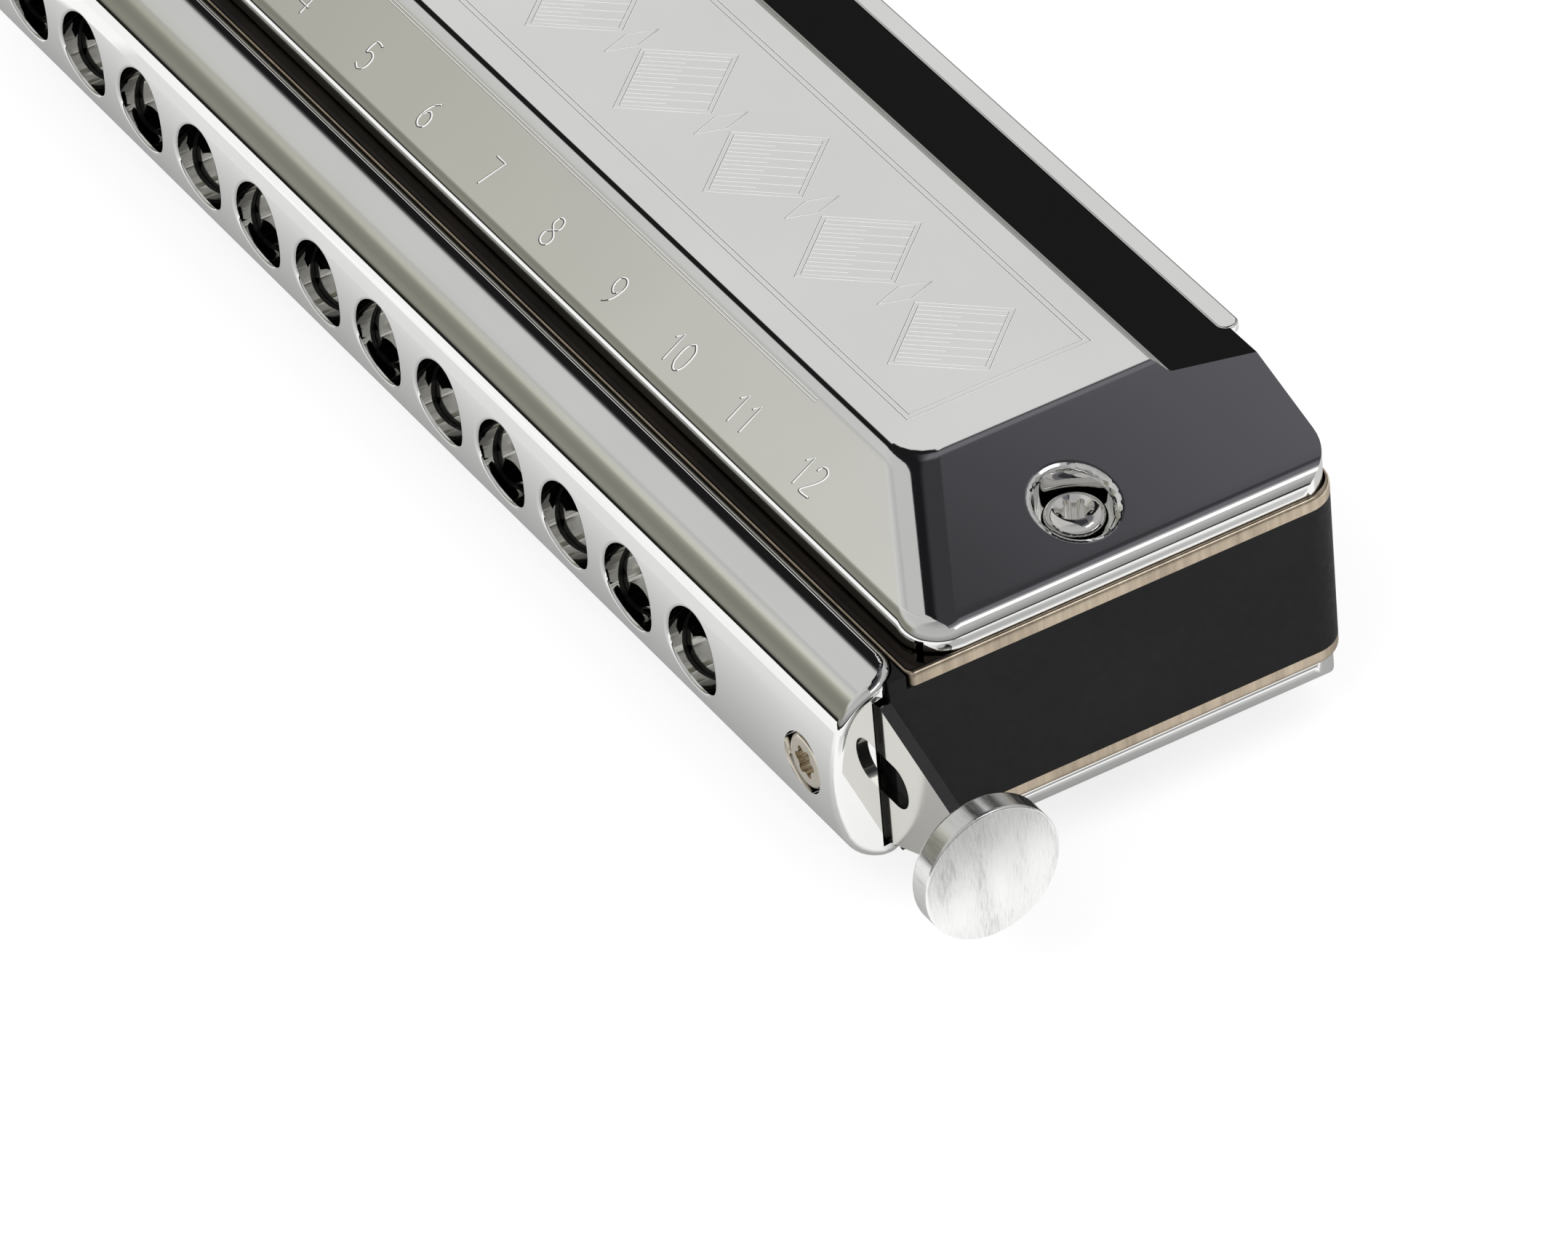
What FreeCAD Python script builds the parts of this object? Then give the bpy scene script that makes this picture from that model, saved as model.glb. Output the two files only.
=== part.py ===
"""Twelve-hole chromatic harmonica with a sprung slide, 48 reeds and two covers.

Millimetres. X runs along the row of holes, with the slide's button at +X.
-Y is the side the player blows into, and Z is up. The origin is the middle
of the flat face of the bottom cover, on which the instrument rests.
"""
import FreeCAD, Part
import math
import os
import Sketcher

VEC = FreeCAD.Vector
ROT = FreeCAD.Rotation
HOLES = 12

# name, value, what it is
SIZES = [
    ("hole_pitch", 9.3, "spacing of the blow holes"),
    ("hole_dia", 7.0, "round blow hole"),
    ("body_len", 143.1, "comb, reed plates and mouthpiece, end to end"),
    ("comb_depth", 38.5, "comb, front to rear"),
    ("comb_tall", 13.2, "comb, bottom to top"),
    ("comb_corner", 3.0, "rounding of the comb and plates in plan"),
    ("ear_len", 1.95, "block at each end of the comb's front"),
    ("ear_step", 0.95, "how far those blocks stand out of the comb's front"),
    ("chamber_wall", 2.3, "wall between two air chambers"),
    ("web_thk", 1.4, "floor between upper and lower chambers"),
    ("chamber_lead", 1.6, "wall in front of the chambers"),
    ("window_wide", 4.2, "air window in slide and comb"),
    ("window_tall", 4.2, "air window, height"),
    ("plate_thk", 1.2, "reed plate"),
    ("plate_edge", 0.45, "rounding of the reed plate's outer edge"),
    ("plate_front", 0.8, "rounding of the plate's front corners in plan"),
    ("mouth_wall", 3.7, "mouthpiece, nose to its flat rear face"),
    ("mouth_nose_part", 2.4242, "gentle curve of the nose, in half heights of the comb"),
    ("mouth_lip_part", 0.6667, "tighter curve above and below it, in half heights of the comb"),
    ("mouth_top_rad", 16.0, "curve from there to the rear"),
    ("mouth_nose_turn", 18.0, "degrees the nose turns through, each way"),
    ("mouth_lip_turn", 73.5, "degrees reached at the end of the tight curve"),
    ("mouth_end_rad", 3.0, "rounding of the lips' corners in plan"),
    ("mouth_edge", 0.7, "rounding of the mouthpiece's end and rear edges"),
    ("lip_room", 0.1, "slide plates to the inside of each lip"),
    ("lip_gap", 0.05, "lips' rear edge to the reed plates"),
    ("screw_x", 67.05, "mouthpiece screws, from the middle"),
    ("screw_rad", 1.0, "mouthpiece screw shank"),
    ("screw_head_rad", 2.3, "mouthpiece screw head"),
    ("screw_head_thk", 1.3, "mouthpiece screw head"),
    ("screw_sink", 0.2, "how far the screw heads lie below the nose"),
    ("insert_rad", 1.9, "threaded insert in the comb"),
    ("insert_len", 6.0, "threaded insert in the comb"),
    ("guide_thk", 0.36, "guide plate in front of the slide"),
    ("run_gap", 0.04, "running clearance of the slide, each side"),
    ("slide_thk", 1.0, "slide"),
    ("back_thk", 0.76, "channel plate behind the slide"),
    ("rail_tall", 0.32, "rails of the channel plate"),
    ("gasket_thk", 0.3, "gasket between channel plate and comb"),
    ("bumper_rad", 1.75, "rubber sleeve on the mouthpiece screws"),
    ("bumper_gap", 0.05, "sleeve to slot"),
    ("slot_extra", 1.7, "slot length beyond the slide's travel"),
    ("neck_start", 0.35, "where the slide starts to taper, past the body"),
    ("neck_half", 1.7, "half height of the slide at the button"),
    ("neck_len", 11.5, "length of the slide's taper"),
    ("button_rad", 5.65, "button"),
    ("button_thk", 2.45, "button with its dome"),
    ("button_dome", 45.0, "radius of the button's domed face"),
    ("button_sink", 1.1, "depth of the slide in the button"),
    ("spring_wire", 0.45, "leg width of the return springs"),
    ("spring_low", 2.25, "inner ends of the spring legs, from the middle"),
    ("spring_high", 6.0, "outer ends of the spring legs, from the middle"),
    ("spring_gap", 0.05, "spring to slide"),
    ("seat_len", 1.1, "spring seat at the left end of the comb"),
    ("slot_len_low", 17.5, "reed slot at hole 1"),
    ("slot_step", 0.5, "each next hole's slot is shorter by this"),
    ("slot_start", 7.8, "reed slots, from the comb's front"),
    ("slot_wide", 2.3, "reed slot"),
    ("reed_offset", 1.75, "reed to the middle of its hole"),
    ("reed_wide", 2.1, "reed"),
    ("reed_thk", 0.25, "reed"),
    ("reed_pad", 4.2, "riveted foot of a reed"),
    ("rivet_rad", 0.6, "reed rivet"),
    ("rivet_head", 0.3, "how far a rivet stands out"),
    ("valve_wide", 2.7, "valve strip"),
    ("valve_thk", 0.15, "valve strip"),
    ("plate_screw_rad", 0.7, "reed plate screws"),
    ("plate_screw_head", 1.3, "reed plate screws"),
    ("cover_wall", 0.7, "cover sheet"),
    ("cover_front", 2.15, "cover's front edge behind the comb's front"),
    ("cover_inset", 0.2, "cover's ends and rear inside the comb's outline"),
    ("cover_corner", 3.5, "rounding of the cover in plan"),
    ("skirt_tall", 1.8, "upright edge of the cover"),
    ("skirt_bead", 1.9, "rounding above the upright edge"),
    ("skirt_foot", 0.35, "rounding below the upright edge"),
    ("roof_tall", 5.9, "cover's roof above the reed plate"),
    ("roof_half", 57.6, "half length of the cover's roof, where its planes would meet"),
    ("roof_front", 7.33, "front slope of the cover, in plan"),
    ("roof_fall", 0.45, "drop of the roof's rear strip"),
    ("panel_rise", 0.5, "raised panel above the roof"),
    ("ridge_rad", 3.0, "rounding between the slopes and the roof"),
    ("panel_step", 0.9, "length of the step down behind the panel"),
    ("panel_deep", 21.34, "raised panel, front to rear"),
    ("panel_corner", 3.0, "rounding of the panel's corners"),
    ("lip_deep", 1.9, "level lip along the cover's rear, front to rear"),
    ("lip_out", 0.9, "how far the lip stands out behind the comb"),
    ("bolt_x", 65.4, "cover bolts, from the middle"),
    ("bolt_y", 19.0, "cover bolts, from the comb's front"),
    ("bolt_rad", 1.25, "cover bolt shank"),
    ("bolt_head_rad", 2.5, "cover bolt head"),
    ("bolt_head_thk", 2.1, "cover bolt head"),
    ("bolt_dome", 1.1, "rounding of the bolt head"),
    ("bolt_gap", 0.1, "bolt to its hole"),
    ("dimple_rad", 2.95, "dimple in the cover for the bolt head"),
    ("dimple_floor", 1.0, "bolt head's seat above the reed plate"),
    ("dimple_edge", 0.7, "rounding of the dimple's rim"),
    ("nut_rad", 2.6, "nut, across corners, half"),
    ("nut_thk", 1.6, "nut"),
]

doc = FreeCAD.newDocument("Harmonica")
sheet = doc.addObject("Spreadsheet::Sheet", "Sizes")
for row, (alias, value, note) in enumerate(SIZES, 1):
    sheet.set("A%d" % row, alias)
    sheet.set("B%d" % row, str(value))
    sheet.setAlias("B%d" % row, alias)
    sheet.set("C%d" % row, note)
doc.recompute()


class Dim:
    """A length: its value, and the sheet expression that gives it."""

    def __init__(self, value, text):
        self.value = float(value)
        self.text = text

    def __add__(self, other):
        other = dim(other)
        return Dim(self.value + other.value, "(%s + %s)" % (self.text, other.text))

    def __sub__(self, other):
        other = dim(other)
        return Dim(self.value - other.value, "(%s - %s)" % (self.text, other.text))

    def __mul__(self, other):
        other = dim(other)
        return Dim(self.value * other.value, "(%s * %s)" % (self.text, other.text))

    def __truediv__(self, other):
        other = dim(other)
        return Dim(self.value / other.value, "(%s / %s)" % (self.text, other.text))

    def __neg__(self):
        return Dim(-self.value, "(-1 * %s)" % self.text)


def dim(number):
    """A plain number as a Dim."""
    if isinstance(number, Dim):
        return number
    return Dim(number, "(%.6f)" % number)


def size(alias):
    """A value of the sheet."""
    return Dim(sheet.get(alias), "Sizes.%s" % alias)


def root(value):
    """Square root."""
    return Dim(math.sqrt(value.value), "sqrt(%s)" % value.text)


def towards(angle):
    """Cosine and sine of an angle in degrees."""
    turn = math.radians(angle.value)
    return Dim(math.cos(turn), "cos(%s * 1 deg)" % angle.text), Dim(math.sin(turn), "sin(%s * 1 deg)" % angle.text)


# ---------------------------------------------------------------- layout

PITCH = size("hole_pitch")
BODY_END = size("body_len") / 2
WALL = size("cover_wall")
PLATE = size("plate_thk")
GAP = size("run_gap")

# depths, from the front of the nose
D_GUIDE = size("mouth_wall")
D_SLIDE = D_GUIDE + size("guide_thk") + GAP
D_SLIDE_END = D_SLIDE + size("slide_thk")
D_BACK = D_SLIDE_END + GAP
D_GASKET = D_BACK + size("back_thk")
D_COMB = D_GASKET + size("gasket_thk")
D_ROOF = D_COMB + size("cover_front") + size("roof_front")
D_MIDDLE = D_ROOF + size("panel_deep") / 2


def deep(depth):
    """Y of a depth behind the nose: the covers' flat panels are centred on Y = 0."""
    return dim(depth) - D_MIDDLE


Y_NOSE = deep(0)
Y_GUIDE = deep(D_GUIDE)
Y_SLIDE = deep(D_SLIDE)
Y_SLIDE_END = deep(D_SLIDE_END)
Y_BACK = deep(D_BACK)
Y_GASKET = deep(D_GASKET)
Y_COMB = deep(D_COMB)
Y_REAR = Y_COMB + size("comb_depth")
Y_EAR = Y_COMB - size("ear_step")
Y_CHAMBER = Y_COMB + size("chamber_lead")
Y_LIP = Y_COMB + 0.5
Y_PLATE = Y_LIP + size("lip_gap")
Y_SLOT = Y_COMB + size("slot_start")

# heights
HALF_COMB = size("comb_tall") / 2
Z_MID = HALF_COMB + PLATE + size("roof_tall") + size("panel_rise")
Z_COMB = Z_MID + HALF_COMB
Z_PLATE = Z_COMB + PLATE
Z_SHOULDER = Z_PLATE + size("skirt_tall")
Z_ROOF = Z_PLATE + size("roof_tall")
Z_PANEL = Z_ROOF + size("panel_rise")
WINDOW_LOW = size("web_thk") / 2
WINDOW_HIGH = WINDOW_LOW + size("window_tall")
SLIDE_HALF = HALF_COMB - size("rail_tall") + 0.02
TRAVEL = PITCH / 2
X_EAR = BODY_END - size("ear_len")
X_SLIDE_LEFT = -size("screw_x") + size("bumper_rad") + size("bumper_gap") + TRAVEL
X_SEAT = -BODY_END + size("seat_len")


def hole_x(index):
    """X of hole number index, counted from 0."""
    return PITCH * (index - (HOLES - 1) / 2)


def slot_length(index):
    """Length of the reed slots of one hole."""
    return size("slot_len_low") - size("slot_step") * index


# ---------------------------------------------------------------- helpers

def bind(thing, prop, value):
    """Tie a property to the sheet."""
    thing.setExpression(prop, dim(value).text)


def place(thing, x, y, z):
    """Tie an object's position to the sheet."""
    bind(thing, "Placement.Base.x", x)
    bind(thing, "Placement.Base.y", y)
    bind(thing, "Placement.Base.z", z)
    return thing


def box(name, x0, x1, y0, y1, z0, z1):
    """Block between two corners."""
    item = doc.addObject("Part::Box", name)
    bind(item, "Length", dim(x1) - dim(x0))
    bind(item, "Width", dim(y1) - dim(y0))
    bind(item, "Height", dim(z1) - dim(z0))
    return place(item, x0, y0, z0)


def rod(name, axis, radius, x, y, z, length):
    """Cylinder that starts at a point and runs along +X, +Y or +Z."""
    item = doc.addObject("Part::Cylinder", name)
    bind(item, "Radius", radius)
    bind(item, "Height", length)
    turn = {"X": ROT(VEC(0, 1, 0), 90), "Y": ROT(VEC(1, 0, 0), -90), "Z": ROT()}[axis]
    item.Placement = FreeCAD.Placement(VEC(), turn)
    return place(item, x, y, z)


def group(name, items):
    """Several solids that stay apart."""
    item = doc.addObject("Part::Compound", name)
    item.Links = items
    return item


def fuse(name, items):
    """Several solids joined into one."""
    item = doc.addObject("Part::MultiFuse", name)
    item.Shapes = items
    return item


def cut(name, base, tool):
    """One solid less another."""
    item = doc.addObject("Part::Cut", name)
    item.Base = base
    item.Tool = tool
    return item


def mirrored(name, source, normal):
    """A copy across the middle: normal X for the left end, Z for the lower half."""
    item = doc.addObject("Part::Mirroring", name)
    item.Source = source
    item.Normal = normal
    if normal.z:
        bind(item, "Base.z", Z_MID)
    return item


NODES = []


def node(item, label):
    """Marks an object as a finished sub-part and gives it its name."""
    item.Label = label
    NODES.append(item)
    return item


def origin_plane(body, role):
    """One of the body's own origin planes."""
    return [f for f in body.Origin.OriginFeatures if f.Role == role][0]


def sketch(body, name, role, offset=None):
    """Sketch on an origin plane, moved along its normal by offset."""
    item = body.newObject("Sketcher::SketchObject", name)
    item.AttachmentSupport = (origin_plane(body, role), [""])
    item.MapMode = "FlatFace"
    if offset is not None:
        bind(item, "AttachmentOffset.Base.z", offset)
    return item


def fix(item, kind, geometry, point, value):
    """Dimension from the sketch's origin to a point, tied to the sheet."""
    value = dim(value)
    rule = Sketcher.Constraint(kind, -1, 1, geometry, point, value.value)
    index = item.addConstraint(rule)
    item.setExpression("Constraints[%d]" % index, value.text)


def fix_point(item, geometry, point, x, y):
    """Both dimensions of a point."""
    fix(item, "DistanceX", geometry, point, x)
    fix(item, "DistanceY", geometry, point, y)


def outline(item, path):
    """Closed outline. Each step is (x, y) for a line to the next step, or
    (x, y, centre x, centre y, turn) for an arc to it, turn +1 anticlockwise."""
    count = len(path)
    for index in range(count):
        here = path[index]
        there = path[(index + 1) % count]
        start = VEC(dim(here[0]).value, dim(here[1]).value, 0)
        end = VEC(dim(there[0]).value, dim(there[1]).value, 0)
        if len(here) == 2:
            item.addGeometry(Part.LineSegment(start, end))
            continue
        centre = VEC(dim(here[2]).value, dim(here[3]).value, 0)
        if here[4] < 0:
            start, end = end, start
        first = math.atan2(start.y - centre.y, start.x - centre.x)
        last = math.atan2(end.y - centre.y, end.x - centre.x)
        circle = Part.Circle(centre, VEC(0, 0, 1), (start - centre).Length)
        item.addGeometry(Part.ArcOfCircle(circle, first, last))
    for index in range(count):
        after = (index + 1) % count
        end = 1 if len(path[index]) == 5 and path[index][4] < 0 else 2
        start = 2 if len(path[after]) == 5 and path[after][4] < 0 else 1
        item.addConstraint(Sketcher.Constraint("Coincident", index, end, after, start))
    for index in range(count):
        here = path[index]
        start = 2 if len(here) == 5 and here[4] < 0 else 1
        fix_point(item, index, start, here[0], here[1])
        if len(here) == 5:
            fix(item, "DistanceX", index, 3, here[2])


def rectangle(item, x0, x1, y0, y1):
    """Plain rectangle."""
    outline(item, [(x0, y0), (x1, y0), (x1, y1), (x0, y1)])


def soft_rectangle(item, x0, x1, y0, y1, radius):
    """Rectangle with round corners."""
    outline(item, [
        (x0 + radius, y0),
        (x1 - radius, y0, x1 - radius, y0 + radius, 1),
        (x1, y0 + radius),
        (x1, y1 - radius, x1 - radius, y1 - radius, 1),
        (x1 - radius, y1),
        (x0 + radius, y1, x0 + radius, y1 - radius, 1),
        (x0, y1 - radius),
        (x0, y0 + radius, x0 + radius, y0 + radius, 1),
    ])


def circle_at(item, x, y, radius):
    """Circle with a bound centre and radius."""
    radius = dim(radius)
    centre = VEC(dim(x).value, dim(y).value, 0)
    index = item.addGeometry(Part.Circle(centre, VEC(0, 0, 1), radius.value))
    fix_point(item, index, 3, x, y)
    rule = item.addConstraint(Sketcher.Constraint("Radius", index, radius.value))
    item.setExpression("Constraints[%d]" % rule, radius.text)


def pad(body, name, profile, length, middle=False):
    """Pads a sketch along its normal, or both ways about its plane."""
    item = body.newObject("PartDesign::Pad", name)
    item.Profile = profile
    bind(item, "Length", length)
    item.Midplane = middle
    return item


def through(body, name, profile):
    """Pocket right through, both ways."""
    item = body.newObject("PartDesign::Pocket", name)
    item.Profile = profile
    item.Type = "ThroughAll"
    item.Midplane = True
    return item


def edges(feature, test):
    """Names of the edges that pass a test on their middle point and box."""
    names = []
    for index, edge in enumerate(feature.Shape.Edges, 1):
        span = edge.BoundBox
        middle = edge.valueAt((edge.FirstParameter + edge.LastParameter) / 2)
        if test(edge, span, middle):
            names.append("Edge%d" % index)
    return names


def fillet(body, name, base, radius, test):
    """Rounds the chosen edges."""
    doc.recompute()
    item = body.newObject("PartDesign::Fillet", name)
    item.Base = (base, edges(base, test))
    bind(item, "Radius", radius)
    return item


def upright(edge, span, middle):
    """True for an edge along Z."""
    return span.ZLength > 0.5 and span.XLength < 1e-6 and span.YLength < 1e-6


def level(height):
    """Test for edges that lie at one height."""
    def test(edge, span, middle):
        return span.ZLength < 1e-5 and abs(middle.z - height.value) < 1e-4
    return test


# ---------------------------------------------------------------- mouthpiece

class Nose:
    """The mouthpiece's section above its middle: three arcs, each tangent to the
    last, from the front of the nose to the rear of the lip. Heights are from the
    middle."""

    nose = HALF_COMB * size("mouth_nose_part")
    lip = HALF_COMB * size("mouth_lip_part")
    top = size("mouth_top_rad")
    cos_1, sin_1 = towards(size("mouth_nose_turn"))
    cos_2, sin_2 = towards(size("mouth_lip_turn"))
    nose_y = Y_NOSE + nose
    lip_y = nose_y - (nose - lip) * cos_1
    lip_z = (nose - lip) * sin_1
    top_y = lip_y + (top - lip) * cos_2
    top_z = lip_z - (top - lip) * sin_2
    joint_1 = (nose_y - nose * cos_1, nose * sin_1)
    joint_2 = (lip_y - lip * cos_2, lip_z + lip * sin_2)
    crest = top_z + top


def nose_cut(item):
    """Everything outside the mouthpiece's D-shaped section, in Y and Z."""
    out = Y_NOSE - 1.5
    high = Z_MID + Nose.crest
    low = Z_MID - Nose.crest
    outline(item, [
        (out, high + 1),
        (out, low - 1),
        (Nose.top_y, low - 1),
        (Nose.top_y, low, Nose.top_y, Z_MID - Nose.top_z, -1),
        (Nose.joint_2[0], Z_MID - Nose.joint_2[1], Nose.lip_y, Z_MID - Nose.lip_z, -1),
        (Nose.joint_1[0], Z_MID - Nose.joint_1[1], Nose.nose_y, Z_MID, -1),
        (Nose.joint_1[0], Z_MID + Nose.joint_1[1], Nose.lip_y, Z_MID + Nose.lip_z, -1),
        (Nose.joint_2[0], Z_MID + Nose.joint_2[1], Nose.top_y, Z_MID + Nose.top_z, -1),
        (Nose.top_y, high),
        (Nose.top_y, high + 1),
    ])


def make_mouthpiece():
    """D-shaped bar with round holes, a slide channel behind and rounded ends."""
    body = doc.addObject("PartDesign::Body", "MouthpieceBody")
    plan = sketch(body, "MouthPlan", "XY_Plane", Z_MID)
    rectangle(plan, -BODY_END, BODY_END, Y_NOSE - 0.02, Y_LIP)
    bar = pad(body, "MouthBar", plan, Nose.crest * 2, True)

    def lip_corner(edge, span, middle):
        return upright(edge, span, middle) and middle.y > Y_LIP.value - 0.01

    fillet(body, "LipCorners", bar, size("mouth_end_rad"), lip_corner)
    section = sketch(body, "NoseSection", "YZ_Plane")
    nose_cut(section)
    nose = through(body, "Nose", section)

    def rim(edge, span, middle):
        if span.XLength < 1e-3 and span.YLength < 1e-3:
            return False
        at_end = abs(abs(middle.x) - BODY_END.value) < 1e-3
        corner = middle.y > Y_LIP.value - 3 and span.XLength > 0.3 and span.YLength > 0.3
        behind = middle.y > Y_LIP.value - 0.01 and span.XLength > 20
        return at_end or corner or behind

    fillet(body, "MouthRim", nose, size("mouth_edge"), rim)
    channel = sketch(body, "ChannelSection", "YZ_Plane")
    inner = HALF_COMB + size("lip_room")
    rectangle(channel, Y_GUIDE, Y_LIP + 1, Z_MID - inner, Z_MID + inner)
    slot = through(body, "Channel", channel)
    first = sketch(body, "FirstHole", "XZ_Plane")
    circle_at(first, hole_x(0), Z_MID, size("hole_dia") / 2)
    hole = through(body, "BlowHole", first)
    doc.recompute()
    row = body.newObject("PartDesign::LinearPattern", "BlowHoles")
    row.Originals = [hole]
    row.Direction = (first, ["H_Axis"])
    bind(row, "Length", PITCH * (HOLES - 1))
    row.Occurrences = HOLES
    body.Tip = row
    doc.recompute()
    reach = (size("hole_dia") / 2).value

    def hole_rim(edge, span, middle):
        return middle.y < Y_GUIDE.value - 1 and abs(span.XLength - 2 * reach) < 0.02

    rims = fillet(body, "HoleRims", row, dim(0.25), hole_rim)
    doc.recompute()
    seats = sketch(body, "ScrewSeats", "XZ_Plane", -(Y_NOSE + size("screw_sink") + size("screw_head_thk")))
    for side in (-1, 1):
        circle_at(seats, size("screw_x") * side, Z_MID, size("screw_head_rad") + 0.2)
    sink = body.newObject("PartDesign::Pocket", "ScrewRecess")
    sink.Profile = seats
    sink.Type = "ThroughAll"
    sink.Reversed = True
    doc.recompute()
    bores = sketch(body, "ScrewBores", "XZ_Plane")
    for side in (-1, 1):
        circle_at(bores, size("screw_x") * side, Z_MID, size("screw_rad") + 0.1)
    through(body, "ScrewHoles", bores)
    return body


def torx(name, axis, x, y, z, radius, length):
    """Six-lobed driver recess."""
    parts = [rod(name + "Core", axis, radius * 0.8, x, y, z, length)]
    for lobe in range(6):
        turn = math.radians(60 * lobe)
        across = radius * (0.78 * math.cos(turn))
        along = radius * (0.78 * math.sin(turn))
        if axis == "Y":
            parts.append(rod(name + "Lobe", axis, radius * 0.26, x + across, y, z + along, length))
        else:
            parts.append(rod(name + "Lobe", axis, radius * 0.26, x + across, y + along, z, length))
    return fuse(name, parts)


def domed(name, head, edge_z, radius):
    """Rounds one rim of a cylinder: the one whose middle passes the test."""
    doc.recompute()
    item = doc.addObject("Part::Fillet", name)
    item.Base = head
    chosen = []
    for index, edge in enumerate(head.Shape.Edges, 1):
        if len(edge.Vertexes) == 1 and edge_z(edge.CenterOfMass):
            chosen.append((index, radius.value, radius.value))
    item.Edges = chosen
    return item


def make_mouth_screws():
    """Two screws along Y, with domed heads and six-lobed recesses."""
    screws = []
    y_head = Y_NOSE + size("screw_sink")
    y_under = y_head + size("screw_head_thk")
    tail = Y_COMB + size("insert_len") - y_under
    for side in (-1, 1):
        x = size("screw_x") * side
        head = rod("MouthScrewHead", "Y", size("screw_head_rad"), x, y_head, Z_MID, size("screw_head_thk"))
        soft = domed("MouthScrewDome", head, lambda c: c.y < y_head.value + 0.01, size("screw_head_thk") * 0.4)
        shank = rod("MouthScrewShank", "Y", size("screw_rad"), x, y_under, Z_MID, tail)
        whole = fuse("MouthScrewWhole", [soft, shank])
        drive = torx("MouthScrewDrive", "Y", x, y_head - 0.2, Z_MID, size("screw_head_rad") * 0.55, dim(1.0))
        screws.append(cut("MouthScrew", whole, drive))
    return group("MouthScrews", screws)


# ---------------------------------------------------------------- slide parts

def air_windows(name, y0, y1):
    """The 24 windows that the channel plate, the gasket and the comb share."""
    half = size("window_wide") / 2
    items = []
    for index in range(HOLES):
        x = hole_x(index)
        for low, high in ((WINDOW_LOW, WINDOW_HIGH), (-WINDOW_HIGH, -WINDOW_LOW)):
            items.append(box(name + "Window", x - half, x + half, y0, y1, Z_MID + low, Z_MID + high))
    return items


def screw_bores(name, y0, y1, radius):
    """Bores for the two mouthpiece screws."""
    return [rod(name + "Bore", "Y", radius, size("screw_x") * side, y0, Z_MID, y1 - y0) for side in (-1, 1)]


def make_guide():
    """Thin plate between the mouthpiece and the slide."""
    sheet_box = box("GuideSheet", -BODY_END + 0.6, BODY_END - 0.6, Y_GUIDE, Y_GUIDE + size("guide_thk"),
                    Z_MID - HALF_COMB, Z_MID + HALF_COMB)
    tools = screw_bores("Guide", Y_GUIDE - 1, Y_SLIDE, size("screw_rad") + 0.1)
    for index in range(HOLES):
        tools.append(rod("GuideHole", "Y", size("hole_dia") / 2, hole_x(index), Y_GUIDE - 1, Z_MID,
                         size("guide_thk") + 2))
    return cut("Guide", sheet_box, group("GuideTools", tools))


def slide_window(index, upper, pushed):
    """One window of the slide: pushed windows line up when the button is in."""
    half = size("window_wide") / 2
    x = hole_x(index) + (TRAVEL if pushed else 0)
    low = WINDOW_LOW if upper else -WINDOW_HIGH
    high = WINDOW_HIGH if upper else -WINDOW_LOW
    return box("SlideWindow", x - half, x + half, Y_SLIDE - 1, Y_SLIDE_END + 1, Z_MID + low, Z_MID + high)


def make_slide():
    """Flat slide: windows in two rows, a slot for one screw, a tapered neck."""
    body = doc.addObject("PartDesign::Body", "SlideBody")
    profile = sketch(body, "SlideOutline", "XZ_Plane", -Y_SLIDE_END)
    shoulder = BODY_END + size("neck_start")
    neck = shoulder + size("neck_len")
    tip = neck + 0.5 + size("button_sink")
    outline(profile, [
        (X_SLIDE_LEFT, Z_MID - SLIDE_HALF),
        (shoulder, Z_MID - SLIDE_HALF),
        (neck, Z_MID - size("neck_half")),
        (tip, Z_MID - size("neck_half")),
        (tip, Z_MID + size("neck_half")),
        (neck, Z_MID + size("neck_half")),
        (shoulder, Z_MID + SLIDE_HALF),
        (X_SLIDE_LEFT, Z_MID + SLIDE_HALF),
    ])
    blade = pad(body, "SlideBlade", profile, size("slide_thk"))
    slot = sketch(body, "SlideSlot", "XZ_Plane")
    radius = size("bumper_rad") + size("bumper_gap")
    x0 = size("screw_x")
    x1 = x0 + TRAVEL + size("slot_extra")
    outline(slot, [
        (x0, Z_MID - radius),
        (x1, Z_MID - radius, x1, Z_MID, 1),
        (x1, Z_MID + radius),
        (x0, Z_MID + radius, x0, Z_MID, 1),
    ])
    through(body, "ScrewSlot", slot)
    windows = []
    for index in range(HOLES):
        odd = index % 2 == 0
        windows.append(slide_window(index, odd, False))
        windows.append(slide_window(index, not odd, True))
    return cut("Slide", body, group("SlideWindows", windows))


def make_button():
    """Round button with a slightly domed face, pressed onto the slide's end."""
    x_back = BODY_END + size("neck_start") + size("neck_len") + 0.5
    y_mid = (Y_SLIDE + Y_SLIDE_END) / 2
    disc = rod("ButtonDisc", "X", size("button_rad"), x_back, y_mid, Z_MID, size("button_thk"))
    ball = doc.addObject("Part::Sphere", "ButtonDome")
    bind(ball, "Radius", size("button_dome"))
    place(ball, x_back + size("button_thk") - size("button_dome"), y_mid, Z_MID)
    face = doc.addObject("Part::Common", "ButtonFace")
    face.Base = disc
    face.Tool = ball
    doc.recompute()
    soft = doc.addObject("Part::Fillet", "ButtonSoft")
    soft.Base = face
    rims = []
    for index, edge in enumerate(face.Shape.Edges, 1):
        if edge.BoundBox.XLength < 1e-5 and edge.BoundBox.ZLength > size("button_rad").value:
            rims.append((index, 0.25, 0.25))
    soft.Edges = rims
    mouth = box("ButtonSlot", x_back - 1, x_back + size("button_sink"), Y_SLIDE, Y_SLIDE_END,
                Z_MID - size("neck_half"), Z_MID + size("neck_half"))
    return cut("Button", soft, mouth)


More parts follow.
